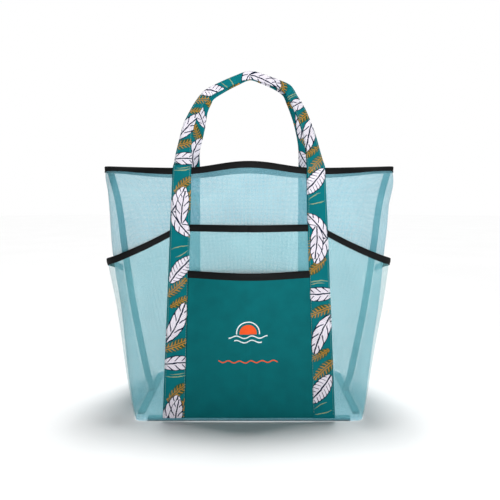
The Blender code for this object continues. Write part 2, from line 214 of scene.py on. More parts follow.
def wall(side, share, z, off=0.0):
    """Points on the wall, pushed outward by off. side is -1 on the front and +1 on the back."""
    share, z, off = np.broadcast_arrays(*(np.asarray(value, float) for value in (share, z, off)))
    off = off + rumple(share, z, side)
    x = look_up("x", share, z) + off * look_up("nx", share, z)
    y = np.maximum(look_up("y", share, z) + off * look_up("ny", share, z), GAP / 2)
    return np.stack([np.copysign(x, share), side * y, z], axis=-1)


def unit(vectors):
    """The same directions with length one."""
    return vectors / np.linalg.norm(vectors, axis=-1, keepdims=True)


def run_along(points):
    """The distance covered at each point of a line."""
    return np.concatenate([[0], np.cumsum(np.linalg.norm(np.diff(points, axis=0), axis=-1))])


print("base", round(2 * base_x, 3), "x", round(2 * base_y, 3), "rim", round(RIM, 3),
      "girth at mid height", round(4 * float(look_up("length", np.array([1.0]), np.array([RIM / 2]))[0]), 3))

# %% [markdown]
# ## Turning grids of points into cloth
# Net is one layer of thread, so its mesh is one layer of faces. Tape, strap and plain cloth have a
# thickness that shows at their edges, so they are closed shells. Both carry a UV map in metres along the
# cloth, which lets a weave or a print be drawn at its real size wherever the cloth bends.

# %% Mesh helpers


def make_object(name, verts, faces, uvs, mat, body):
    """A smooth-shaded mesh object with one UV per face corner, riding on a body."""
    mesh = bpy.data.meshes.new(name)
    mesh.from_pydata([tuple(v) for v in verts], [], faces)
    layer = mesh.uv_layers.new(name="cloth")
    layer.data.foreach_set("uv", np.asarray(uvs, float).ravel())
    mesh.materials.append(mat)
    mesh.shade_smooth()
    obj = bpy.data.objects.new(name, mesh)
    bpy.context.scene.collection.objects.link(obj)
    if body:
        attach(obj, body)
    return obj


def cloth(name, grid, uv, mat, body, thick=0.0, outward=None):
    """A sheet from a grid of points, rows by columns. With thick it is a closed shell round the grid."""
    rows, cols = grid.shape[:2]
    index = np.arange(rows * cols).reshape(rows, cols)
    a, b, c, d = index[:-1, :-1], index[:-1, 1:], index[1:, 1:], index[1:, :-1]
    quads = np.stack([a, b, c, d], axis=-1).reshape(-1, 4)
    flat_uv = uv.reshape(-1, 2)
    points = grid.reshape(-1, 3)
    if not thick:
        return make_object(name, points, quads.tolist(), flat_uv[quads], mat, body)
    down, right = np.gradient(grid, axis=0), np.gradient(grid, axis=1)
    normal = np.cross(right, down)
    normal /= np.maximum(np.linalg.norm(normal, axis=-1, keepdims=True), 1e-12)
    if outward is not None and np.sum(normal * outward) < 0:
        normal = -normal
        quads = quads[:, ::-1]
    front, back = grid + normal * thick / 2, grid - normal * thick / 2
    count = rows * cols
    border = np.concatenate([index[0, :-1], index[:-1, -1], index[-1, :0:-1], index[:0:-1, 0]])
    after = np.roll(border, -1)
    rim = np.stack([border, after, after + count, border + count], axis=-1)
    if np.array_equal(quads[0], [a[0, 0], b[0, 0], c[0, 0], d[0, 0]]):
        rim = rim[:, ::-1]
    faces = np.concatenate([quads, quads[:, ::-1] + count, rim])
    verts = np.concatenate([front.reshape(-1, 3), back.reshape(-1, 3)])
    return make_object(name, verts, faces.tolist(), np.tile(flat_uv, (2, 1))[faces], mat, body)


def loft(name, rings, uv, mat, body):
    """A closed body through rings of points, with capped ends.

    uv has one column more than a ring has points, for the way back to the first.
    """
    count, size = rings.shape[:2]
    faces, uvs = [], []
    for r in range(count - 1):
        for c in range(size):
            d = (c + 1) % size
            faces.append((r * size + c, r * size + d, (r + 1) * size + d, (r + 1) * size + c))
            uvs += [uv[r, c], uv[r, c + 1], uv[r + 1, c + 1], uv[r + 1, c]]
    for r, step in ((0, -1), (count - 1, 1)):
        order = range(size)[::step]
        faces.append(tuple(r * size + c for c in order))
        uvs += [uv[r, c] for c in order]
    return make_object(name, rings.reshape(-1, 3), faces, uvs, mat, body)


# %% [markdown]
# ## Net: knitted polyester mesh
# Beach net is a fine open weave of polyester yarn. The eye sees a pale tint that deepens wherever two
# layers lie over each other, because each layer covers nearly half of what is behind it. It could be one
# evenly transparent sheet, but yarn covers more than the gaps do, so here crossing yarns decide the alpha.
# Polyester yarn is a plastic with an IOR near 1.55 and a soft sheen, and it is neither glossy nor chalky.
# The yarns are drawn 1.1 mm apart, coarser than they are, as the finest that still shows. Fine loops
# between them haze the holes, so no hole is quite clear. The pocket net is paler and more open.

# %% Net material
YARN_PITCH = 1.1 * MM
WAVE_PERIOD = math.tau / 20                          # Blender's wave texture repeats 20 / tau times per unit


def yarns(tree, cloth_point, axis, pitch, share):
    """A mask of parallel yarns: white on the yarn, black between, with share of the pitch covered."""
    wave = node(tree, "TexWave", {"Vector": cloth_point, "Scale": WAVE_PERIOD / pitch, "Distortion": 0.0},
                wave_type="BANDS", bands_direction=axis)
    edge = 0.5 + 0.5 * math.cos(math.pi * share)
    return node(tree, "MapRange", (wave, edge - 0.18, edge + 0.18, 0.0, 1.0), interpolation_type="SMOOTHSTEP")


def net_material(name, yarn_hex, deep_hex, hole, yarn, share=0.42, pitch=YARN_PITCH):
    """Open polyester net. hole and yarn say how much of the view each of them covers."""
    mat, tree, out = new_material(name)
    at = node(tree, "UVMap", uv_map="cloth")
    warp = yarns(tree, at, "X", pitch, share)
    weft = yarns(tree, at, "Y", pitch, share)
    cover = node(tree, "Math", (warp, weft), operation="MAXIMUM")
    haze = node(tree, "MapRange", (cover, 0.0, 1.0, hole, yarn))
    drift = node(tree, "TexNoise", {"Vector": at, "Scale": 26.0, "Detail": 3.0, "Roughness": 0.6})
    shade = node(tree, "MapRange", (drift.outputs["Fac"], 0.35, 0.65, 0.0, 1.0))
    colour = node(tree, "Mix", (shade, linear(yarn_hex), linear(deep_hex)), data_type="RGBA")
    relief = node(tree, "Bump", {"Strength": 0.5, "Distance": 0.25 * MM, "Height": cover})
    shader = node(tree, "BsdfPrincipled", {
        "Base Color": colour, "Roughness": 0.6, "IOR": 1.55, "Specular IOR Level": 0.15, "Alpha": haze,
        "Normal": relief})
    tree.links.new(shader.outputs[0], out.inputs[0])
    return mat


NET_TEAL = net_material("knitted polyester net", "#87c4d3", "#7abacb", 0.22, 0.60)
POCKET_NET = net_material("open polyester pocket net", "#8bd2d8", "#80c8ce", 0.14, 0.34)
print("net:", NET_TEAL.name, "yarn pitch", YARN_PITCH * 1000, "mm")

# %% [markdown]
# ## Woven cloth, printed and plain
# The pocket and the straps are plain-weave polyester. Up close there is a fine over-and-under grid that
# breaks up the light, and at its edges the cloth has a little fuzz. The grid is drawn as relief with painted
# shade and light on it. The yarns are near 0.3 mm and are drawn 0.8 mm apart, the finest that still shows.

# %% Woven cloth
CLOTH_PITCH = 0.8 * MM


def weave_height(tree, at, pitch):
    """Plain weave as a height: warp and weft yarns take turns on top."""
    warp = node(tree, "TexWave", {"Vector": at, "Scale": WAVE_PERIOD / pitch}, bands_direction="X")
    weft = node(tree, "TexWave", {"Vector": at, "Scale": WAVE_PERIOD / pitch}, bands_direction="Y")
    return node(tree, "Math", (warp, weft), operation="MULTIPLY")


def woven_shader(tree, out, at, colour, pitch=CLOTH_PITCH, rough=0.78, depth=0.12 * MM):
    """Finishes a cloth material: weave relief, a worn-in tone and painted shade on the weave, over the given
    colour.
    """
    height = weave_height(tree, at, pitch)
    drift = node(tree, "TexNoise", {"Vector": at, "Scale": 55.0, "Detail": 4.0})
    tone = node(tree, "MapRange", (drift.outputs["Fac"], 0.3, 0.7, 0.90, 1.08))
    # Painted shade and light: the weave's hollows are darkened, and the places where yarns cross on top are
    # lightened.
    weave_shading = node(tree, "MapRange", (height, 0.0, 1.0, 0.84, 1.12))
    level = node(tree, "Math", (tone, weave_shading), operation="MULTIPLY")
    shaded = node(tree, "VectorMath", (colour, level), operation="SCALE")
    relief = node(tree, "Bump", {"Strength": 0.6, "Distance": depth, "Height": height})
    matt = node(tree, "MapRange", (height, 0.0, 1.0, rough + 0.08, rough - 0.06))
    shader = node(tree, "BsdfPrincipled", {
        "Base Color": shaded, "Roughness": matt, "IOR": 1.5, "Specular IOR Level": 0.08, "Normal": relief})
    tree.links.new(shader.outputs[0], out.inputs[0])


# %% [markdown]
# The centre pocket is plain teal cloth with a small two-colour screen print: a sun over waves. A
# screen print is flat ink, so it changes the colour and not the shape. Each line of it is a distance:
# a ring is the distance to a circle, and a wave is the distance to a sine.

# %% Centre pocket cloth with its print
# each wave's height from the sun's centre, swing, wavelength and half length, in mm
WAVES = ((-5.0, 1.5, 19.0, 24.0), (-10.5, 1.5, 19.0, 17.0), (-36.0, 1.2, 14.0, 37.0))


def ink_line(tree, distance, width):
    """1 within half the width of a line, given a signed distance to it."""
    near = node(tree, "Math", (distance,), operation="ABSOLUTE")
    return node(tree, "MapRange", (near, width / 2 + 0.12 * MM, width / 2 - 0.12 * MM, 0.0, 1.0))


def both(tree, *masks):
    """Where all masks are set."""
    made = masks[0]
    for mask in masks[1:]:
        made = node(tree, "Math", (made, mask), operation="MULTIPLY")
    return made


def either(tree, *masks):
    """Where any mask is set."""
    made = masks[0]
    for mask in masks[1:]:
        made = node(tree, "Math", (made, mask), operation="MAXIMUM")
    return made


def pocket_material():
    """Plain teal cloth with the sun and waves in white and coral."""
    mat, tree, out = new_material("screen-printed woven polyester")
    at = node(tree, "UVMap", uv_map="cloth")
    split = node(tree, "SeparateXYZ", (at,))
    u, v = split.outputs[0], split.outputs[1]
    sun_u, sun_v, sun_r = -1.0 * MM, 111 * MM, 10.5 * MM
    du = node(tree, "Math", (u, sun_u), operation="SUBTRACT")
    dv = node(tree, "Math", (v, sun_v), operation="SUBTRACT")
    spread = node(tree, "Math", (node(tree, "Math", (du, du), operation="MULTIPLY"),
                                 node(tree, "Math", (dv, dv), operation="MULTIPLY")), operation="ADD")
    radius = node(tree, "Math", (spread, 0.5), operation="POWER")
    above = node(tree, "Math", (dv, -1.5 * MM), operation="GREATER_THAN")
    disc = both(tree, node(tree, "Math", (radius, sun_r), operation="LESS_THAN"), above)
    from_ring = node(tree, "Math", (radius, sun_r + 3.5 * MM), operation="SUBTRACT")
    ring = both(tree, ink_line(tree, from_ring, 1.3 * MM), above)
    lines = []
    for height, swing, long, half in WAVES:
        turn = node(tree, "Math", (du, math.tau / (long * MM)), operation="MULTIPLY")
        sine = node(tree, "Math", (turn,), operation="SINE")
        swell = node(tree, "Math", (sine, swing * MM), operation="MULTIPLY")
        below = node(tree, "Math", (dv, height * MM), operation="SUBTRACT")
        level = node(tree, "Math", (below, swell), operation="SUBTRACT")
        sideways = node(tree, "Math", (du,), operation="ABSOLUTE")
        reach = node(tree, "Math", (sideways, half * MM), operation="LESS_THAN")
        lines.append(both(tree, ink_line(tree, level, 1.4 * MM), reach))
    cloth_hue = node(tree, "Mix", (node(tree, "TexNoise", {"Vector": at, "Scale": 9.0}).outputs["Fac"],
                           linear("#05686c"), linear("#046167")), data_type="RGBA")
    white = either(tree, ring, lines[0], lines[1])
    inked = node(tree, "Mix", (white, cloth_hue, linear("#e9eef0")), data_type="RGBA")
    coral = either(tree, disc, lines[2])
    inked = node(tree, "Mix", (coral, inked, linear("#ee5a2b")), data_type="RGBA")
    woven_shader(tree, out, at, inked)
    return mat


POCKET_CLOTH = pocket_material()

# %% [markdown]
# ## The strap print
# The straps are cut from a printed fabric: pale palm leaves outlined in navy and ochre fern sprigs on
# teal. A drawn leaf is one recipe used many times, so it is a node group: it takes a place, a turn and a
# size, and gives back where its outline and its body are. The print repeats like a real one does. Each
# leaf wraps round its own centre, so leaves that cross the repeat's edge need no second copy.

# %% The leaf stamp
REPEAT = (62.0, 265.0)                               # the print's repeat across and along, in mm


def leaf_group():
    """One printed leaf. Works in millimetres on the cloth."""
    tree = bpy.data.node_groups.new("printed leaf", "ShaderNodeTree")
    for name in ("Cloth", "Centre", "Turn", "Length", "Half width", "Cuts", "Duty", "Bend"):
        kind = "NodeSocketVector" if name in ("Cloth", "Centre") else "NodeSocketFloat"
        tree.interface.new_socket(name, in_out="INPUT", socket_type=kind)
    for name in ("Body", "Outline", "Hatch"):
        tree.interface.new_socket(name, in_out="OUTPUT", socket_type="NodeSocketFloat")
    given = tree.nodes.new("NodeGroupInput").outputs
    half_tile = (REPEAT[0] / 2, REPEAT[1] / 2, 1.0)
    away = node(tree, "VectorMath", (given["Cloth"], given["Centre"]), operation="SUBTRACT")
    away = node(tree, "VectorMath", (away, half_tile, tuple(-h for h in half_tile)), operation="WRAP")
    turned = node(tree, "VectorRotate", {"Vector": away, "Angle": given["Turn"]}, rotation_type="Z_AXIS")
    split = node(tree, "SeparateXYZ", (turned,))
    part = node(tree, "Math", (split.outputs[0], given["Length"]), operation="DIVIDE")
    along = node(tree, "Math", (part, 0.5), operation="ADD", use_clamp=True)
    middle = node(tree, "Math", (along, 0.5), operation="SUBTRACT")
    arch = node(tree, "Math", (node(tree, "Math", (middle, middle), operation="MULTIPLY"), given["Bend"]),
                operation="MULTIPLY")
    side = node(tree, "Math", (split.outputs[1], arch), operation="SUBTRACT")
    sideways = node(tree, "Math", (side,), operation="ABSOLUTE")
    out_from_rib = node(tree, "Math", (sideways, given["Half width"]), operation="DIVIDE")
    back = node(tree, "Math", (1.0, along), operation="SUBTRACT")
    hump = node(tree, "Math", (along, back), operation="MULTIPLY")
    swell = node(tree, "Math", (hump, 4.0), operation="MULTIPLY")
    edge = node(tree, "Math", (swell, 0.62), operation="POWER")
    lean = node(tree, "Math", (out_from_rib, 0.9), operation="MULTIPLY")
    count = node(tree, "Math", (along, given["Cuts"]), operation="MULTIPLY")
    vein = node(tree, "Math", (node(tree, "Math", (count, lean), operation="SUBTRACT"),), operation="FRACT")
    fine = node(tree, "Math", (node(tree, "Math", (vein, 4.0), operation="MULTIPLY"),), operation="FRACT")
    lobe = node(tree, "Math", (node(tree, "Math", (vein, 0.5), operation="SUBTRACT"),), operation="ABSOLUTE")
    wide_lobe = node(tree, "Math", (lobe, 2.0), operation="MULTIPLY")
    notch = node(tree, "Math", (wide_lobe, 5.0), operation="POWER")
    bite = node(tree, "Math", (notch, 0.28), operation="MULTIPLY")
    left_over = node(tree, "Math", (1.0, bite), operation="SUBTRACT")
    lobed = node(tree, "Math", (edge, left_over), operation="MULTIPLY")
    inside = node(tree, "Math", (out_from_rib, lobed), operation="LESS_THAN")
    border = node(tree, "Math", (edge, 0.11), operation="ADD")
    around = both(tree, node(tree, "Math", (out_from_rib, border), operation="LESS_THAN"),
                  node(tree, "Math", (swell, 0.02), operation="GREATER_THAN"))
    blade = node(tree, "Math", (vein, given["Duty"]), operation="LESS_THAN")
    off_rib = node(tree, "Math", (out_from_rib, 0.10), operation="GREATER_THAN")
    near_rib = node(tree, "Math", (out_from_rib, 0.26), operation="LESS_THAN")
    body = both(tree, inside, either(tree, blade, near_rib), off_rib)
    hatch = both(tree, body, node(tree, "Math", (fine, 0.20), operation="LESS_THAN"))
    result = tree.nodes.new("NodeGroupOutput").inputs
    for key, value in (("Body", body), ("Outline", around), ("Hatch", hatch)):
        tree.links.new(value.outputs[0], result[key])
    return tree


LEAF = leaf_group()

# %% [markdown]
# The layout below is one repeat of the print. Sprigs are printed first, then the leaves over them, as
# the screens are laid on the real cloth.

# %% The printed cloth
# centre across and along in mm, turn in degrees, length, half width, cuts, bend
PALM_LEAVES = [(-3, 9, 62, 40, 9.0, 4, 8), (2, 67, 3, 46, 8.5, 5, -6), (0, 116, 64, 55, 9.0, 4, 10),
               (3, 186, 48, 46, 9.5, 10, -8), (0, 243, -52, 40, 8.5, 4, 6), (2, 266, 84, 44, 8.0, 4, -6),
               (30, 40, 75, 46, 8.5, 5, 8), (31, 96, 20, 40, 9.0, 6, -6), (29, 150, 100, 50, 9.0, 4, 9),
               (31, 214, 55, 46, 9.0, 8, -8), (-26, 246, 66, 40, 8.0, 5, 6)]
FERN_SPRIGS = [(-1, 88, 20, 40, 6.5, 9, 6), (3, 32, 40, 34, 6.0, 8, -4), (-3, 160, 40, 38, 6.5, 9, 5),
               (6, 266, 66, 50, 7.5, 12, 6), (4, 144, 26, 32, 5.0, 8, -4), (28, 66, 40, 36, 6.0, 9, 5),
               (27, 122, 24, 34, 5.5, 8, -5), (30, 180, 60, 38, 6.0, 9, 5), (25, 235, 30, 34, 5.5, 8, 5)]
SPRAY_LINES = [(1, 50, 4, 26, 0.7, 3, 6), (3, 53, 6, 20, 0.5, 3, 5), (0, 214, 12, 24, 0.6, 3, -6),
               (4, 204, 30, 20, 0.6, 3, 5), (30, 10, 10, 26, 0.7, 3, 6)]


def strap_material():
    """Printed woven polyester for the straps and handles."""
    mat, tree, out = new_material("screen-printed strap cloth")
    at = node(tree, "UVMap", uv_map="cloth")
    at_mm = node(tree, "VectorMath", (at, 1 / MM), operation="SCALE")
    wobble = node(tree, "TexNoise", {"Vector": at, "Scale": 160.0, "Detail": 2.0})
    shake = node(tree, "VectorMath", (wobble.outputs["Color"], (0.5, 0.5, 0.5)), operation="SUBTRACT")
    shake = node(tree, "VectorMath", (shake, 2.2), operation="SCALE")
    drawn = node(tree, "VectorMath", (at_mm, shake), operation="ADD")

    def stamp(row, duty):
        u, v, turn, length, half, cuts, bend = row
        made = tree.nodes.new("ShaderNodeGroup")
        made.node_tree = LEAF
        tree.links.new(drawn.outputs[0], made.inputs["Cloth"])
        for key, value in (("Centre", (u, v, 0)), ("Turn", math.radians(-turn)), ("Length", length),
                           ("Half width", half), ("Cuts", cuts), ("Duty", duty), ("Bend", bend)):
            made.inputs[key].default_value = value
        return made

    hue = node(tree, "Mix", (node(tree, "TexNoise", {"Vector": at, "Scale": 12.0}).outputs["Fac"],
                     linear("#05747b"), linear("#04666e")), data_type="RGBA")
    patch = node(tree, "TexNoise", {"Vector": at, "Scale": 34.0, "Detail": 2.0})
    olive = node(tree, "MapRange", (patch.outputs["Fac"], 0.36, 0.56, 0.15, 0.9))
    for row in FERN_SPRIGS:
        sprig = stamp(row, 0.30)
        shadow = both(tree, olive, sprig.outputs["Outline"])
        hue = node(tree, "Mix", (shadow, hue, linear("#35502f")), data_type="RGBA")
        hue = node(tree, "Mix", (sprig.outputs["Body"], hue, linear("#b9822c")), data_type="RGBA")
    for row in SPRAY_LINES:
        hue = node(tree, "Mix", (stamp(row, 1.0).outputs["Body"], hue, linear("#9aa77c")), data_type="RGBA")
    for row in PALM_LEAVES:
        leaf = stamp(row, 0.84)
        hue = node(tree, "Mix", (leaf.outputs["Outline"], hue, linear("#17223a")), data_type="RGBA")
        hue = node(tree, "Mix", (leaf.outputs["Body"], hue, linear("#ece7ef")), data_type="RGBA")
        hue = node(tree, "Mix", (leaf.outputs["Hatch"], hue, linear("#bdb6c9")), data_type="RGBA")
    woven_shader(tree, out, at, hue)
    return mat


STRAP_CLOTH = strap_material()
print("print:", len(PALM_LEAVES), "leaves,", len(FERN_SPRIGS), "sprigs in a repeat of", REPEAT, "mm")

# %% [markdown]
# ## Binding and thread
# Raw net frays, so each edge is folded into tape. The tape is ribbed across, like grosgrain: its smoother rib
# crests give fine dull glints on black, and the crests are also painted lighter, a painted glint. The seams
# inside are bound in plain teal. The thread is spun polyester, so a stitch is a short twisted rod with a soft
# highlight and painted shade in its twist.

# %% Tape and thread materials


def tape_material(name, dark_hex, fluff_and_glint_hex, rib):
    """Ribbed binding tape. u runs along the tape and v across it."""
    mat, tree, out = new_material(name)
    at = node(tree, "UVMap", uv_map="cloth")
    ribs = node(tree, "TexWave", {"Vector": at, "Scale": WAVE_PERIOD / rib}, bands_direction="X")
    worn = node(tree, "TexNoise", {"Vector": at, "Scale": 130.0, "Detail": 4.0})
    fluff = node(tree, "MapRange", (worn.outputs["Fac"], 0.45, 0.75, 0.0, 0.6))
    # Random fluff lightens the tape in patches, and the rib crests are painted lighter too: a painted glint
    # along each rib.
    hue = node(tree, "Mix", (either(tree, fluff, node(tree, "Math", (ribs, 0.35), operation="MULTIPLY")),
                     linear(dark_hex), linear(fluff_and_glint_hex)), data_type="RGBA")
    relief = node(tree, "Bump", {"Strength": 0.7, "Distance": 0.15 * MM, "Height": ribs})
    rough = node(tree, "MapRange", (ribs, 0.0, 1.0, 0.78, 0.55))
    shader = node(tree, "BsdfPrincipled", {"Base Color": hue, "Roughness": rough, "IOR": 1.5,
                                           "Specular IOR Level": 0.12, "Normal": relief})
    tree.links.new(shader.outputs[0], out.inputs[0])
    return mat


def thread_material(name, srgb_hex):
    """Spun polyester thread: a twisted ply, with painted shade in slanting bands along the grooves of its
    twist.
    """
    mat, tree, out = new_material(name)
    at = node(tree, "TexCoord").outputs["Object"]
    twist = node(tree, "TexWave", {"Vector": at, "Scale": WAVE_PERIOD / (0.5 * MM)},
                 bands_direction="DIAGONAL")
    base = linear(srgb_hex)
    # The twist's grooves take the colour at 0.6 of its brightness: painted shade in slanting bands.
    twist_shade = tuple(c * 0.6 for c in base[:3]) + (1.0,)
    hue = node(tree, "Mix", (twist.outputs["Fac"], twist_shade, base), data_type="RGBA")
    relief = node(tree, "Bump", {"Strength": 0.5, "Distance": 0.1 * MM, "Height": twist.outputs["Fac"]})
    shader = node(tree, "BsdfPrincipled", {"Base Color": hue, "Roughness": 0.5, "IOR": 1.55,
                                           "Specular IOR Level": 0.2, "Normal": relief})
    tree.links.new(shader.outputs[0], out.inputs[0])
    return mat


BLACK_TAPE = tape_material("ribbed polyester binding tape", "#08090a", "#161819", 1.1 * MM)
SEAM_TAPE = tape_material("plain polyester seam tape", "#1a6d76", "#2c838c", 1.0 * MM)
BLACK_THREAD = thread_material("spun polyester thread black", "#1b1d1f")
PALE_THREAD = thread_material("spun polyester thread teal grey", "#7fa9a4")
TEAL_THREAD = thread_material("spun polyester thread teal", "#3b8b93")

# %% [markdown]
# ## The net panels and the base
# Front and back are cut as rectangles and sewn up the sides. Where the base was boxed, the corners are
# square; higher up the cloth relaxes. Each panel is one fine grid on the wall, about 3 mm between points,
# so the soft folds are shape and not only shading.

# %% Panels
PANEL_BOTTOM = 1.5 * MM


def spread_shares():
    """Columns across a whole panel, close together where the corners turn."""
    corner = STRAP_SHARE + (1 - STRAP_SHARE) * np.linspace(0, 1, 76)[1:]
    half = np.concatenate([np.linspace(0, STRAP_SHARE, 34), corner])
    return np.concatenate([-half[:0:-1], half])


def along_cloth(share, z):
    """UV in metres: the signed length along the cloth, and the height."""
    share, z = np.broadcast_arrays(share, z)
    return np.stack([np.sign(share) * look_up("length", share, z), z], axis=-1)


def down_the_grid(grid):
    """For the top edge of a grid: its points, the way down the cloth and the way outward."""
    edge = grid[-1].copy()
    down = unit(grid[-3] - edge)
    return edge, down, unit(np.cross(np.gradient(edge, axis=0), down))


def make_panel(name, side):
    """One net panel from side seam to side seam."""
    share = spread_shares()[None, :]
    rise = np.linspace(0, 1, 112)[:, None]
    z = PANEL_BOTTOM + (rim_height(share) - PANEL_BOTTOM) * rise
    grid = wall(side, share, z)
    obj = cloth(f"{name}_net_panel", grid, along_cloth(share, z), NET_TEAL, BAG)
    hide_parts(f"{name}_panel")
    return obj, grid


front_panel, front_grid = make_panel("front", -1)
back_panel, back_grid = make_panel("back", 1)


def make_base():
    """The base net, stretched flat between the four base seams."""
    share = spread_shares()[None, :]
    edge = wall(-1, share, 0.0)[0]
    across = np.linspace(-1, 1, 60)[:, None]
    grid = np.stack([np.broadcast_to(edge[:, 0], (60, len(edge))), -across * edge[None, :, 1],
                     np.full((60, len(edge)), NET / 2)], axis=-1)
    obj = cloth("base_net_panel", grid, grid[..., :2], NET_TEAL, BAG)
    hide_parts("base_panel")
    return obj, grid


base_panel, base_grid = make_base()

# %% [markdown]
# ## Folded binding
# One section serves every bound edge: a strip folded over the cloth, with a round fold at the top, a
# little puff between the fold and the stitching, and a dent under the stitches. It is lofted along the
# edge it binds.

# %% Folded tape and stitches
TAPE = 0.6 * MM
TAPE_WIDTH = 8.0 * MM
STITCH_INSET = 1.7 * MM                              # the sewing lies this far inside the tape's edge


def folded_tape(name, edge, down, outward, mat, body, cloth_half=0.5 * MM, width=TAPE_WIDTH,
                puff=0.28 * MM):
    """Tape folded over an edge. down points from the fold towards the cloth, outward to its outer side."""
    out_r, in_r = cloth_half + TAPE, cloth_half + 0.05 * MM
    stitch = width - STITCH_INSET
    leg = [(out_r - 0.10 * MM, width), (out_r + 0.02 * MM, width - 0.4 * MM), (out_r - 0.12 * MM, stitch),
           (out_r + puff * 0.7, stitch * 0.78), (out_r + puff, stitch * 0.45), (out_r + puff * 0.4, 0.8 * MM)]
    turn = [(out_r * math.sin(a), -out_r * math.cos(a)) for a in np.linspace(math.pi / 2, -math.pi / 2, 7)]
    inner = [(in_r * math.sin(a), -in_r * math.cos(a)) for a in np.linspace(-math.pi / 2, math.pi / 2, 5)]
    profile = leg + turn + [(-o, d) for o, d in reversed(leg)] + [(-in_r, width)] + inner + [(in_r, width)]
    profile = np.array(profile)
    rings = (edge[:, None] + profile[None, :, :1] * outward[:, None] + profile[None, :, 1:] * down[:, None])
    around = run_along(np.vstack([profile, profile[:1]]))
    uv = np.stack(np.broadcast_arrays(run_along(edge)[:, None], around[None, :]), axis=-1)
    return loft(name, rings, uv, mat, body)


def stitches(name, path, outward, mat, body, pitch=3.3 * MM, run=2.5 * MM, radius=0.26 * MM):
    """A row of sewn stitches: short rods that rise from the cloth and dive back into it."""
    length = run_along(path)
    count = int((length[-1] - run) / pitch)
    part = np.array([0.0, 0.15, 0.5, 0.85, 1.0])
    height = np.array([-0.5, 0.5, 0.9, 0.5, -0.5]) * radius
    at = (np.arange(count)[:, None] * pitch + part[None] * run).ravel()
    centre, up, ahead = (np.stack([np.interp(at, length, values[:, k]) for k in range(3)], axis=-1)
                         for values in (path, outward, np.gradient(path, axis=0)))
    up, ahead = unit(up), unit(ahead)
    aside = np.cross(ahead, up)
    centre = centre + up * np.tile(height, count)[:, None]
    side, rings = 6, len(part)
    turn = np.linspace(0, math.tau, side, endpoint=False)
    verts = (centre[:, None] + radius * (np.cos(turn)[None, :, None] * aside[:, None]
                                         + np.sin(turn)[None, :, None] * up[:, None])).reshape(-1, 3)
    base = (np.arange(count) * rings * side)[:, None, None]
    ring = (np.arange(rings - 1) * side)[None, :, None]
    point = np.arange(side)[None, None, :]
    after = (point + 1) % side
    quads = np.stack([base + ring + point, base + ring + after, base + ring + side + after,
                      base + ring + side + point], axis=-1).reshape(-1, 4)
    faces = quads.tolist()
    for k in range(count):
        start = k * rings * side
        faces.append(tuple(range(start + side - 1, start - 1, -1)))
        faces.append(tuple(range(start + (rings - 1) * side, start + rings * side)))
    uvs = np.zeros((4 * len(quads) + 2 * side * count, 2))
    return make_object(name, verts, faces, uvs, mat, body)


def bind_edge(name, grid, mat, node_name, cloth_half=0.5 * MM, past_end=0.0):
    """Binds the top edge of a cloth grid and sews the binding down on its outer side."""
    edge, down, outward = down_the_grid(grid)
    for end, near in ((0, 1), (-1, -2)):
        ahead = edge[end] - edge[near]
        edge[end] = edge[end] + ahead * (past_end / np.linalg.norm(ahead))
    tape = folded_tape(name, edge, down, outward, mat, BAG, cloth_half)
    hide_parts(node_name)
    line = edge + down * (TAPE_WIDTH - STITCH_INSET) + outward * (cloth_half + TAPE - 0.05 * MM)
    thread_row = stitches(f"{name}_stitches", line, outward, BLACK_THREAD, BAG)


bind_edge("front_rim_tape", front_grid, BLACK_TAPE, "front_rim_binding", past_end=0.7 * MM)
bind_edge("back_rim_tape", back_grid, BLACK_TAPE, "back_rim_binding", past_end=0.7 * MM)

# %% [markdown]
# The seams inside the bag are bound with the same fold, in teal. At the sides the bound edge stands
# inward like a fin. On the base it lies flat.

# %% Seam tapes
SEAM_DEPTH = 8.5 * MM
EAR_Z, EAR_REACH = 11 * MM, 5 * MM                   # each fin ends in a small folded ear


def straight_frame(points, down, outward):
    """Repeats one direction down and one outward for every point of a line."""
    return points, *(np.tile(way, (len(points), 1)).astype(float) for way in (down, outward))


def make_side_seam(name, sign):
    """The bound edge behind one side seam, with its sewing."""
    low, high = (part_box(f"side_seam_binding_{name}")[k].z for k in (0, 1))
    z = np.linspace(low, high, 60)
    reach = look_up("x", np.ones_like(z), z) - 0.7 * MM - SEAM_DEPTH
    sway = 0.5 * MM * np.sin(z / (31 * MM)) * np.sin(math.pi * (z - low) / (high - low))
    ear = np.exp(-((z - EAR_Z) / EAR_REACH)**2)
    points = np.stack([sign * (reach - 3.6 * MM * ear), sway - 1.5 * MM * ear, z], axis=-1)
    tape = folded_tape(f"side_seam_tape_{name}", *straight_frame(points, (sign, 0, 0), (0, -1, 0)),
                       SEAM_TAPE, BAG, 0.4 * MM, SEAM_DEPTH, 0.15 * MM)
    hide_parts(f"side_seam_binding_{name}")
    line = points + np.array([sign * (SEAM_DEPTH - STITCH_INSET), -0.95 * MM, 0])
    row = stitches(f"side_seam_stitches_{name}", line, np.tile([0.0, -1.0, 0.0], (len(line), 1)),
                   TEAL_THREAD, BAG)


def make_base_seam(name, axis, sign):
    """The bound edge along one side of the base."""
    low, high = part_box(f"base_seam_binding_{name}")
    ends = (low[1 - axis], high[1 - axis])
    inner = min(abs(low[axis]), abs(high[axis]))
    along = np.linspace(*ends, 50)
    points = np.zeros((len(along), 3))
    points[:, axis] = sign * inner
    points[:, 1 - axis] = along
    points[:, 2] = (low.z + high.z) / 2
    down = np.zeros(3)
    down[axis] = sign
    tape = folded_tape(f"base_seam_tape_{name}", *straight_frame(points, down, (0, 0, 1)),
                       SEAM_TAPE, BAG, 0.35 * MM, abs(high[axis] - low[axis]), 0.05 * MM)
    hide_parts(f"base_seam_binding_{name}")
    line = points + down * (SEAM_DEPTH - STITCH_INSET) + np.array([0, 0, 0.9 * MM])
    row = stitches(f"base_seam_stitches_{name}", line, np.tile([0.0, 0.0, 1.0], (len(line), 1)),
                   TEAL_THREAD, BAG)


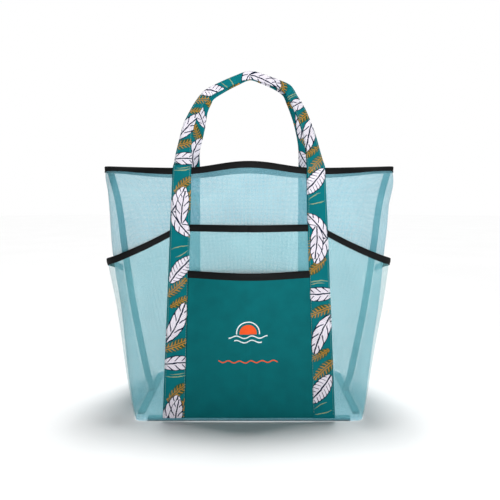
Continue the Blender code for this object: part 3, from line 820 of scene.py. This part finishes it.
for seam_name, seam_sign in (("left", -1), ("right", 1)):
    make_side_seam(seam_name, seam_sign)
for seam_name, seam_axis, seam_sign in (("front", 1, -1), ("back", 1, 1), ("left", 0, -1), ("right", 0, 1)):
    make_base_seam(seam_name, seam_axis, seam_sign)

# %% [markdown]
# ## Pockets
# Each pocket is a patch sewn to the wall at its sides and bottom, with a taped mouth that stands off a
# little. The patch follows the wall at a distance that grows towards the mouth, most in the middle, so
# it gapes as a used pocket does. The two net side pockets go round the front corners to the side seams.

# %% Pockets
STRAP_WIDTH = 28 * MM
POCKET_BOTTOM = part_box("centre_pocket")[0].z
FIRST_LAYER = NET / 2 + GAP + 0.1 * MM
POCKET_LIFT = 0.9 * MM                               # room for the tape behind a mouth
TALL_GAPE, CLOTH_GAPE, SIDE_GAPE = 10 * MM, 11 * MM, 7 * MM
GAPE_ACROSS, GAPE_UP = 1.5, 1.6                      # a mouth opens most in its middle, near its top
SIDE_MOUTH = (0.2445, 0.2025, 0.1840)                # a side mouth's height at strap, corner and seam
UNDER_STRAP = STRAP_WIDTH / 2 - 1.0 * MM             # a pocket's edge lies under the strap by 1 mm


def pocket_grid(edges, top_of, off, thick, lift, gape, cols, rows):
    """The middle surface of a pocket on the front wall, and its UV in metres.

    edges(z) gives its first and last share, top_of(share) the height of its mouth.
    """
    across = np.linspace(0, 1, cols)
    top = np.full(cols, 0.2)
    for _ in range(5):
        first, last = edges(top)
        top = top_of(first + (last - first) * across)
    z = POCKET_BOTTOM + (top - POCKET_BOTTOM)[None] * np.linspace(0, 1, rows)[:, None]
    first, last = (e.reshape(z.shape) for e in edges(z.ravel()))
    share = first + (last - first) * across[None]
    span = along_cloth(share, z)
    fraction = (span[..., 0] - span[:, :1, 0]) / (span[:, -1:, 0] - span[:, :1, 0])
    up = (z - POCKET_BOTTOM) / (top - POCKET_BOTTOM)[None]
    stand = off + thick / 2 + lift * up + gape * np.sin(math.pi * fraction)**GAPE_ACROSS * up**GAPE_UP
    return wall(-1, share, z, stand), span


def between_straps(z):
    """The first and last share of a pocket that fills the space between the front straps."""
    share = share_beside_strap(z, -UNDER_STRAP)
    return -share, share


def make_middle_pockets():
    """The tall net pocket, and the printed cloth pocket in front of it."""
    tall_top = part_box("mesh_pocket")[1].z - 1.2 * MM     # limp tape settles a little
    cloth_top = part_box("centre_pocket")[1].z - 1.6 * MM
    grid, uv = pocket_grid(between_straps, lambda s: np.full_like(s, tall_top), FIRST_LAYER, NET,
                           POCKET_LIFT, TALL_GAPE, 90, 84)
    tall = cloth("tall_net_pocket", grid, uv, POCKET_NET, BAG)
    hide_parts("mesh_pocket")
    bind_edge("tall_pocket_tape", grid, BLACK_TAPE, "mesh_pocket_binding")

    reach = (cloth_top - POCKET_BOTTOM) / (tall_top - POCKET_BOTTOM)
    grid, uv = pocket_grid(between_straps, lambda s: np.full_like(s, cloth_top),
                           FIRST_LAYER + NET + GAP, 1.0 * MM,
                           POCKET_LIFT * (1 + reach), CLOTH_GAPE + TALL_GAPE * reach**GAPE_UP, 90, 70)
    plain = cloth("printed_cloth_pocket", grid, uv, POCKET_CLOTH, BAG, thick=0.9 * MM,
                  outward=np.array([0, -1.0, 0]))
    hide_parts("centre_pocket")
    bind_edge("cloth_pocket_tape", grid, BLACK_TAPE, "centre_pocket_binding")


def side_pocket_mouth(share):
    """Level with the tall pocket at the strap, falling round the corner to the seam."""
    t = (np.abs(share) - STRAP_SHARE) / (1 - STRAP_SHARE)
    smooth = np.linspace(0, 1, 41)
    line = np.interp(smooth, (0, 0.5, 1), SIDE_MOUTH)
    for _ in range(6):                               # round the kink at the corner a little
        line[1:-1] = (line[:-2] + 2 * line[1:-1] + line[2:]) / 4
    return np.interp(t, smooth, line)


def make_side_pocket(name, sign):
    """One net pocket round a front corner."""

    def edges(z):
        beside = sign * share_beside_strap(z, UNDER_STRAP)
        seam = np.full_like(beside, sign * 0.999)
        return (beside, seam) if sign > 0 else (seam, beside)

    grid, uv = pocket_grid(edges, side_pocket_mouth, FIRST_LAYER, NET, POCKET_LIFT, SIDE_GAPE, 110, 80)
    pocket = cloth(f"side_net_pocket_{name}", grid, uv, POCKET_NET, BAG)
    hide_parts(f"side_pocket_{name}")
    bind_edge(f"side_pocket_tape_{name}", grid, BLACK_TAPE, f"side_pocket_binding_{name}")


make_middle_pockets()
for pocket_name, pocket_sign in (("left", -1), ("right", 1)):
    make_side_pocket(pocket_name, pocket_sign)

# %% [markdown]
# ## Straps and handles
# One long strap makes each side: up a sewn leg, over as the handle, and down the other leg. It is
# modelled as one closed ribbon, so nothing can part at the rim. Above the rim the strap narrows, because
# its edges are folded to the back, and along the grip it is folded in half. The ribbon lies on the bag
# below the rim and along the handle's route above it, with a smooth turn in between.

# %% Straps
HINGE = frame["joints"][0]
hinge_z = HINGE["pos_m"][2]
STRAP = 1.4 * MM
GRIP = 3.2 * MM
HANDLE_ROUTE = np.array([                            # x, z and visible width, from the left to the right leg
    (-0.0882, hinge_z, 0.0246), (-0.0878, 0.3367, 0.0223), (-0.0869, 0.3533, 0.0183),
    (-0.0838, 0.3782, 0.0150), (-0.0797, 0.3910, 0.0137), (-0.0714, 0.4098, 0.0130),
    (-0.0628, 0.4232, 0.0132), (-0.0556, 0.4312, 0.0113), (-0.0387, 0.4408, 0.0112),
    (-0.0198, 0.4499, 0.0114), (0.0014, 0.4575, 0.0115), (0.0226, 0.4514, 0.0113),
    (0.0395, 0.4444, 0.0114), (0.0548, 0.4354, 0.0134), (0.0619, 0.4221, 0.0138),
    (0.0694, 0.4070, 0.0152), (0.0760, 0.3890, 0.0156), (0.0829, 0.3636, 0.0172),
    (0.0864, 0.3400, 0.0203), (0.0886, hinge_z, 0.0242)])
APEX_Y = 2.6 * MM
FOOT_Z = 4.5 * MM
LEG_WIDTHS = ((0.0, 28.3 * MM), (0.14, 27.6 * MM), (0.25, 26.4 * MM), (hinge_z, 24.4 * MM))
RAMP_Z, RAMP_LONG = 0.285, 0.020                     # here a strap climbs over the rim tape
FLAP_Z, FLAP_REACH = 0.385, 0.028                    # where a fold that has come open is widest
STITCH_IN = 2.0 * MM                                 # stitching from a strap's edge


def smooth_route(points, count):
    """A Catmull-Rom curve through the points."""
    padded = np.vstack([2 * points[0] - points[1], points, 2 * points[-1] - points[-2]])
    t = np.linspace(0, len(points) - 1, count)
    i = np.minimum(t.astype(int), len(points) - 2)
    f = (t - i)[:, None]
    a, b, c, d = (padded[i + k] for k in range(4))
    return 0.5 * (2 * b + (c - a) * f + (2 * a - 5 * b + 4 * c - d) * f**2 + (3 * b - a - 3 * c + d) * f**3)


CREASES = np.array([(-0.0600, 0.4265), (0.0580, 0.4300)])    # x and z where the grip's fold begins
CREASE_LEAN = 3.0                                    # rings that a crease slants over half the width
CREASE_RISE, CREASE_DENT = 0.9 * MM, 0.5 * MM


def crease_step(ring, a, bend_at):
    """The folded-over layer of the grip: it ends at each crease in a slanting step."""
    first, last = bend_at
    after, before = ring - first - CREASE_LEAN * a, last - ring + CREASE_LEAN * a
    over = np.clip(after / 1.6, 0, 1) * np.clip(before / 1.6, 0, 1)
    return (CREASE_RISE * over - CREASE_DENT * np.exp(-((after + 1.2) / 1.3)**2)
            - CREASE_DENT * np.exp(-((before + 1.2) / 1.3)**2))


def strap_leg(side, sign, z, off):
    """The middle of a sewn leg and the direction across it, at each height."""
    share = share_beside_strap(z, 0.0)
    middle = wall(side, sign * share, z, off)
    ends = [wall(side, sign * share_beside_strap(z, sign * d), z, off)
            for d in (-STRAP_WIDTH / 2, STRAP_WIDTH / 2)]
    return middle, unit(ends[1] - ends[0])


def strap_path(side):
    """The whole strap from left foot to right foot: middle points, directions across, widths, thicknesses."""
    z = np.concatenate([np.linspace(FOOT_Z, 0.27, 70), np.linspace(0.27, hinge_z, 20)[1:]])
    near_rim = np.clip((z - RAMP_Z) / RAMP_LONG, 0, 1)
    off = FIRST_LAYER + 1.0 * MM * near_rim**2 * (3 - 2 * near_rim) + STRAP / 2
    left, left_across = strap_leg(side, -1, z, off)
    right, right_across = strap_leg(side, 1, z, off)
    route = smooth_route(HANDLE_ROUTE, 260)[1:-1]
    foot_y = abs(left[-1, 1])
    up = (route[:, 1] - hinge_z) / (route[:, 1].max() - hinge_z)
    y = side * (foot_y + (APEX_Y - foot_y) * up)
    handle = np.stack([route[:, 0], y, route[:, 1]], axis=-1)
    ahead = np.gradient(np.vstack([left[-1], handle, right[-1]]), axis=0)[1:-1]
    across = unit(np.stack([ahead[:, 2], np.zeros(len(ahead)), -ahead[:, 0]], axis=-1))
    middle = np.vstack([left, handle, right[::-1]])
    across = np.vstack([left_across, across, -right_across[::-1]])
    leg_width = np.interp(z, *zip(*LEG_WIDTHS))
    width = np.concatenate([leg_width, route[:, 2], leg_width[::-1]])
    folded = np.clip((LEG_WIDTHS[-1][1] - width) / (10 * MM), 0, 1)
    return middle, across, width, STRAP + (GRIP - STRAP) * folded


def make_strap(name, side, print_start, flap):
    """One strap with its two legs and its handle. flap is how far the left fold has come open."""
    middle, across, width, thick = strap_path(side)
    opened = flap * np.exp(-((middle[:, 2] - FLAP_Z) / FLAP_REACH)**2) * (middle[:, 0] < 0)
    middle = middle + across * (opened / 2)[:, None]
    width = width + opened
    outward = unit(np.cross(unit(np.gradient(middle, axis=0)), across))
    outward *= np.sign(outward[:, 1:2] * side)
    flat = np.linspace(-1, 1, 13)
    crown = 0.30 * MM * (1 - flat**4)
    bend_at = [np.argmin(np.linalg.norm(middle[:, ::2] - place, axis=1)) for place in CREASES]
    rings = []
    for face, order in ((1, flat), (-1, flat[::-1])):
        for k, a in enumerate(order):
            edge = 1 - 0.55 * (abs(a) > 0.99)
            rise = face * (thick / 2 * edge + (crown[k] if face > 0 else 0.0))
            if face > 0:
                rise = rise + crease_step(np.arange(len(middle)), a, bend_at)
            rings.append(middle + across * (a * width / 2)[:, None] + outward * rise[:, None])
    rings = np.stack(rings, axis=1)
    run = run_along(middle)
    front_u = flat[None] * width[:, None] / 2
    back_u = width[:, None] - flat[::-1][None] * width[:, None] / 2
    u = np.concatenate([front_u, back_u, width[:, None] * 1.5], axis=1)
    uv = np.stack(np.broadcast_arrays(u + print_start[0], run[:, None] + print_start[1]), axis=-1)
    strap = loft(f"{name}_strap", rings, uv, STRAP_CLOTH, None)
    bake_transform(strap)
    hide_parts(f"{name}_strap_left", f"{name}_strap_right", f"{name}_handle")
    for edge_name, edge_sign in (("outer", -1), ("inner", 1)):
        beside = across * (edge_sign * (width / 2 - STITCH_IN))[:, None]
        line = middle + beside + outward * (thick / 2 + 0.22 * MM)[:, None]
        row = stitches(f"{name}_strap_{edge_name}_stitches", line, outward, PALE_THREAD, None,
                       radius=0.2 * MM)
        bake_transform(row)
    print(f"{name} strap: {run[-1]:.3f} m long")


make_strap("front", -1, (0.0, 0.0), 0.0)
make_strap("back", 1, (9 * MM, 64 * MM), 8.0 * MM)

# %% [markdown]
# ## The studio
# The bag stands on a plain pale floor. A wide light above and a little behind gives the soft shadow
# round the base. A gridded soft box from the front right shows the weave and spares the floor. The
# surround looks white through the net, but lights the bag only a little, so the shadow stays dark.
# Colours are shown as they are, without a film curve.

# %% Floor, light and camera
SURROUND_LIGHT = 0.09                                # the share of its brightness that lights the bag


def make_floor():
    """A wide, pale, slightly mottled studio floor."""
    mat, tree, out = new_material("matt studio floor paint")
    at = node(tree, "TexCoord").outputs["Object"]
    mottle = node(tree, "TexNoise", {"Vector": at, "Scale": 3.0, "Detail": 5.0})
    hue = node(tree, "Mix", (mottle.outputs["Fac"], linear("#f4f4f4"), linear("#fafafa")), data_type="RGBA")
    shader = node(tree, "BsdfPrincipled", {"Base Color": hue, "Roughness": 0.85})
    tree.links.new(shader.outputs[0], out.inputs[0])
    turn = np.linspace(0, math.tau, 97)[:-1]
    rings = [0.0, 0.3, 1.0, 3.0, 9.0]
    verts = [(r * math.cos(a), r * math.sin(a), 0.0) for r in rings[1:] for a in turn]
    verts.append((0.0, 0.0, 0.0))
    size = len(turn)
    faces = [(len(verts) - 1, k, (k + 1) % size) for k in range(size)]
    faces += [(r * size + k, (r + 1) * size + k, (r + 1) * size + (k + 1) % size, r * size + (k + 1) % size)
              for r in range(len(rings) - 2) for k in range(size)]
    corners = sum(len(f) for f in faces)
    floor = make_object("studio_floor", verts, faces, np.zeros((corners, 2)), mat, None)


def broad_light(name, place, spread, strength):
    """A light as wide as the sky behind a large diffuser. It shines from place towards the origin."""
    data = bpy.data.lights.new(name, "SUN")
    data.energy, data.angle = strength, math.radians(spread)
    light = bpy.data.objects.new(name, data)
    light.location = place
    light.rotation_euler = (-Vector(place)).to_track_quat("-Z", "Y").to_euler()
    bpy.context.scene.collection.objects.link(light)


def grid_light(name, place, aim, size, spread, power):
    """A soft box with a honeycomb grid: it lights what it is aimed at and spares the floor."""
    data = bpy.data.lights.new(name, "AREA")
    data.energy, data.size, data.spread = power, size, math.radians(spread)
    light = bpy.data.objects.new(name, data)
    light.location = place
    light.rotation_euler = (Vector(aim) - Vector(place)).to_track_quat("-Z", "Y").to_euler()
    bpy.context.scene.collection.objects.link(light)


def make_world():
    """A surround that is white to look at and gives only a small share of that as light."""
    world = bpy.data.worlds.new("studio")
    bpy.context.scene.world = world
    world.use_nodes = True
    tree = world.node_tree
    tree.nodes.clear()
    out = tree.nodes.new("ShaderNodeOutputWorld")
    path = node(tree, "LightPath")
    strength = node(tree, "MapRange", (path.outputs["Is Camera Ray"], 0.0, 1.0, SURROUND_LIGHT, 1.0))
    glow = node(tree, "Background", {"Color": (1.0, 1.0, 1.0, 1.0), "Strength": strength})
    tree.links.new(glow.outputs[0], out.inputs[0])


make_floor()
make_world()
broad_light("overhead_diffuser", (0.05, 0.44, 1.6), 19, 3.3)
grid_light("front_softbox", (0.45, -1.35, 0.26), (0.0, 0.0, 0.46), 0.7, 62, 3.5)
scene = bpy.context.scene
scene.view_settings.view_transform = "Standard"
scene.cycles.transparent_max_bounces = 32

EYE_DISTANCE, EYE_HEIGHT, FOCAL_PX = 0.699, 0.278, 484.0
camera = bpy.data.objects.new("camera", bpy.data.cameras.new("camera"))
camera.data.sensor_width = 36.0
camera.data.lens = 36.0 * FOCAL_PX / 500
camera.data.shift_y = -0.1
camera.location = (0.0014, -EYE_DISTANCE, EYE_HEIGHT)
camera.rotation_euler = (math.pi / 2, 0, 0)
scene.collection.objects.link(camera)
scene.camera = camera
